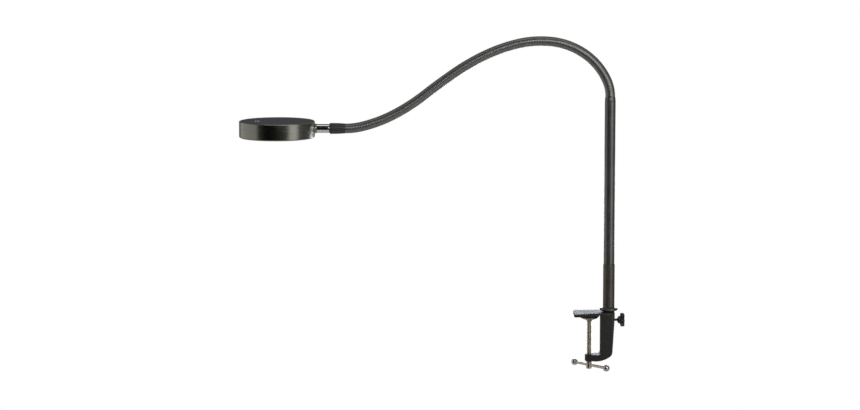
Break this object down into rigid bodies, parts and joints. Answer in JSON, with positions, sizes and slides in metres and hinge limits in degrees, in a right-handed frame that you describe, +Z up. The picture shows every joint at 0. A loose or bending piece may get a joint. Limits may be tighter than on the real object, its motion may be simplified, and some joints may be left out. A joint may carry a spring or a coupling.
{
  "type": "clamp-on gooseneck led lamp",
  "caption": "LED work lamp: a C-clamp with tommy-bar screw and thumb screw holds a round pole, a curved bendable gooseneck and a flat round lamp head with a push button.",
  "frame": {"origin": "centre of the desk face under the upper jaw, on the clamp screw axis", "axes": "+Z up along the pole, -X from the pole towards the lamp head, Y across the clamp"},
  "size_m": [0.6941, 0.136, 0.6032],
  "materials": {
    "cast_black": "black textured powder coat on a casting",
    "rubber_black": "matte rubber",
    "nylon_black": "moulded nylon",
    "nylon_white": "moulded nylon",
    "steel_nickel": "nickel-plated steel",
    "steel_dark": "blackened steel",
    "ball_metal": "polished dark nickel",
    "knob_black": "satin moulded plastic",
    "pole_black": "satin black paint",
    "sleeve_brown": "satin brownish black",
    "neck_black": "matte black, finely ribbed",
    "chrome_bright": "polished chrome",
    "gunmetal": "satin gunmetal anodised",
    "cover_grey": "satin grey anodised",
    "alu_plain": "plain machined",
    "brass_pin": "plain",
    "board_white": "solder mask",
    "board_green": "solder mask",
    "led_yellow": "phosphor",
    "reflector_white": "white",
    "diffuser_opal": "opal",
    "pad_blue": "silicone gap pad",
    "button_silver": "polished",
    "lead_red": "insulated wire"
  },
  "bodies": {
    "clamp": {"clamp_frame": "cast_black", "jaw_pad": "rubber_black", "socket_bush": "nylon_black"},
    "pad": {"pressure_pad": "steel_nickel", "pad_face": "rubber_black"},
    "screw": {"clamp_screw": "steel_nickel", "screw_circlip": "steel_nickel"},
    "bar": {"tommy_bar": "steel_nickel", "tommy_balls": "ball_metal"},
    "shoe": {"pin_shoe": "nylon_white"},
    "thumb": {"thumb_screw": "steel_dark", "thumb_knob": "knob_black"},
    "pole": {"pole_pin": "steel_nickel", "thrust_washer": "nylon_white", "pole_collar": "cast_black", "lower_sleeve": "sleeve_brown", "dc_jack": "nylon_black", "dc_bezel": "nylon_black", "dc_pin": "brass_pin", "pole_joiner": "steel_nickel", "pole_tube": "pole_black", "pole_leads": "lead_red", "pole_ferrule": "pole_black", "neck_base": "neck_black"},
    "neck_1": {"neck_link_1": "neck_black"},
    "neck_2": {"neck_link_2": "neck_black"},
    "neck_3": {"neck_link_3": "neck_black"},
    "neck_4": {"neck_link_4": "neck_black"},
    "neck_5": {"neck_link_5": "neck_black"},
    "neck_6": {"neck_link_6": "neck_black"},
    "neck_7": {"neck_link_7": "neck_black"},
    "neck_8": {"neck_link_8": "neck_black"},
    "neck_tip": {"neck_end": "neck_black", "neck_sleeve": "neck_black", "friction_bush": "brass_pin"},
    "head": {"stub_tube": "chrome_bright", "stub_circlip": "steel_nickel", "stub_nut": "steel_nickel", "head_housing": "gunmetal", "top_cover": "cover_grey", "standoffs": "brass_pin", "heatsink": "alu_plain", "led_board": "board_white", "leds": "led_yellow", "board_screws": "steel_nickel", "reflector": "reflector_white", "diffuser": "diffuser_opal", "gap_pad": "pad_blue", "driver_board": "board_green", "driver_parts": "nylon_black", "button_switch": "nylon_black", "head_leads": "lead_red"},
    "button": {"power_button": "button_silver"}
  },
  "joints": [
    {"name": "pad_slide", "type": "slide", "parent": "clamp", "child": "pad", "axis": [0, 0, 1], "range_m": [-0.055, 0]},
    {"name": "clamp_screw_spin", "type": "hinge", "parent": "pad", "child": "screw", "pos_m": [0, 0, -0.05], "axis": [0, 0, 1], "range_deg": [-15850, 10]},
    {"name": "tommy_bar_slide", "type": "slide", "parent": "screw", "child": "bar", "axis": [0.6428, -0.766, 0], "range_m": [-0.034, 0.026]},
    {"name": "shoe_slide", "type": "slide", "parent": "clamp", "child": "shoe", "axis": [1, 0, 0], "range_m": [0, 0.002]},
    {"name": "thumb_screw_spin", "type": "hinge", "parent": "shoe", "child": "thumb", "pos_m": [0.045, 0, -0.0085], "axis": [1, 0, 0], "range_deg": [-5, 905]},
    {"name": "pole_swivel", "type": "hinge", "parent": "clamp", "child": "pole", "pos_m": [0.035, 0, 0], "axis": [0, 0, 1], "continuous": true},
    {"name": "neck_bend_1", "type": "hinge", "parent": "pole", "child": "neck_1", "pos_m": [0.02824, 0, 0.42651], "axis": [0, 1, 0], "range_deg": [-8, 25]},
    {"name": "neck_side_2", "type": "hinge", "parent": "neck_1", "child": "neck_2", "pos_m": [-0.01218, 0, 0.47383], "axis": [0.5592, 0, 0.829], "range_deg": [-25, 25]},
    {"name": "neck_bend_3", "type": "hinge", "parent": "neck_2", "child": "neck_3", "pos_m": [-0.07079, 0, 0.49517], "axis": [0, 1, 0], "range_deg": [-20, 25]},
    {"name": "neck_side_4", "type": "hinge", "parent": "neck_3", "child": "neck_4", "pos_m": [-0.13332, 0, 0.49079], "axis": [-0.2419, 0, 0.9703], "range_deg": [-25, 25]},
    {"name": "neck_bend_5", "type": "hinge", "parent": "neck_4", "child": "neck_5", "pos_m": [-0.19242, 0, 0.46929], "axis": [0, 1, 0], "range_deg": [-25, 25]},
    {"name": "neck_side_6", "type": "hinge", "parent": "neck_5", "child": "neck_6", "pos_m": [-0.24664, 0, 0.43734], "axis": [-0.5736, 0, 0.8192], "range_deg": [-25, 25]},
    {"name": "neck_bend_7", "type": "hinge", "parent": "neck_6", "child": "neck_7", "pos_m": [-0.29728, 0, 0.39987], "axis": [0, 1, 0], "range_deg": [-25, 25]},
    {"name": "neck_side_8", "type": "hinge", "parent": "neck_7", "child": "neck_8", "pos_m": [-0.35005, 0, 0.36561], "axis": [-0.4695, 0, 0.8829], "range_deg": [-25, 25]},
    {"name": "neck_bend_9", "type": "hinge", "parent": "neck_8", "child": "neck_tip", "pos_m": [-0.40872, 0, 0.34308], "axis": [0, 1, 0], "range_deg": [-25, 25]},
    {"name": "head_twist", "type": "hinge", "parent": "neck_tip", "child": "head", "pos_m": [-0.43991, 0, 0.33926], "axis": [1, 0, 0], "range_deg": [-90, 90]},
    {"name": "button_press", "type": "slide", "parent": "head", "child": "button", "axis": [0, 0, 1], "range_m": [-0.0006, 0], "stiffness_N_per_m": 600, "springref_m": 0.002}
  ],
  "couplings": [
    {"joint": "clamp_screw_spin", "follows": "pad_slide", "rad_per_m": 5026.5},
    {"joint": "thumb_screw_spin", "follows": "shoe_slide", "rad_per_m": 7854}
  ]
}
